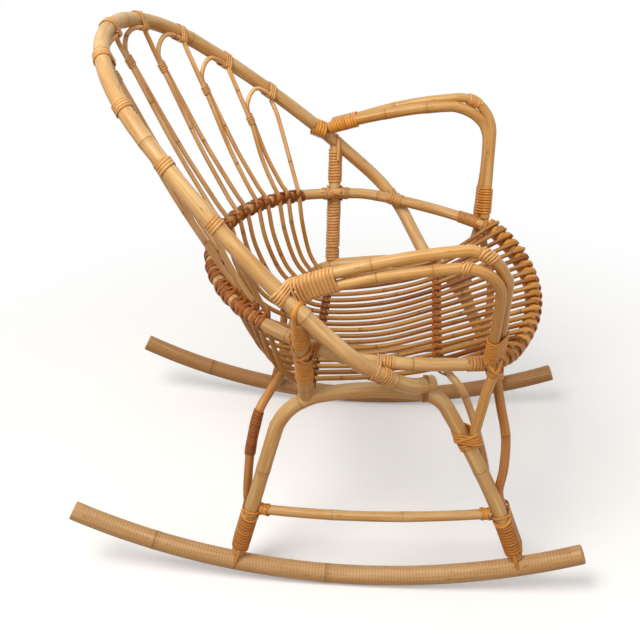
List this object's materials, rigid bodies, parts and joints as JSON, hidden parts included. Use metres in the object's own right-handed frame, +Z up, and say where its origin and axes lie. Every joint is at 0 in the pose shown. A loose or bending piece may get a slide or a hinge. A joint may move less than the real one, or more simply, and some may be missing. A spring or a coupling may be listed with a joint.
{
  "type": "rattan fan back rocking chair",
  "caption": "Rattan rocking chair with a looped fan back that runs on as the seat, doubled arm poles and bent runners lashed to side arches.",
  "frame": {"origin": "on the floor under the resting point of the two runners, in the chair's middle plane", "axes": "the chair faces -Y, +X is the sitter's left, +Z is up"},
  "size_m": [0.6638, 0.8493, 0.8745],
  "materials": {
    "pole": "satin",
    "arm_pole": "satin",
    "cane": "satin",
    "wrap": "satin",
    "dark_wrap": "satin",
    "pale_wrap": "satin"
  },
  "bodies": {
    "root": {"runner_right": "pole", "runner_left": "pole", "side_arch_right": "pole", "side_arch_left": "pole", "rear_cross_arch": "cane", "cross_leg_wraps": "dark_wrap", "front_cross_arch": "cane", "front_brace_right": "cane", "front_brace_left": "cane", "stretcher_right": "pole", "stretcher_left": "pole", "stretcher_ties": "wrap", "back_hoop": "pole", "seat_ring": "pole", "post_right": "pole", "post_left": "pole", "post_wrap_right": "wrap", "post_wrap_left": "wrap", "arm_outer_right": "arm_pole", "arm_outer_left": "arm_pole", "arm_inner_right": "arm_pole", "arm_inner_left": "arm_pole", "arm_rear_wrap_right": "pale_wrap", "arm_rear_wrap_left": "pale_wrap", "arm_front_ties": "wrap", "arm_foot_wraps": "wrap", "arm_leg_ties": "wrap", "foot_wrap_rear_right": "wrap", "foot_wrap_rear_left": "wrap", "foot_wrap_front_right": "wrap", "foot_wrap_front_left": "wrap", "fan_loop_1": "cane", "fan_loop_2": "cane", "fan_loop_3": "cane", "fan_loop_4": "cane", "fan_loop_5": "cane", "fan_loop_6": "cane", "fan_loop_7": "cane", "fan_loop_8": "cane", "fan_loop_9": "cane", "rear_seat_bar": "cane", "hoop_bindings": "wrap", "pair_ties": "pale_wrap", "ring_lashings": "dark_wrap", "rear_bar_lashings": "dark_wrap", "front_bar_lashings": "dark_wrap", "front_edge_wrap": "wrap", "hoop_ring_ties": "pale_wrap", "hoop_end_ties": "wrap"}
  },
  "joints": []
}
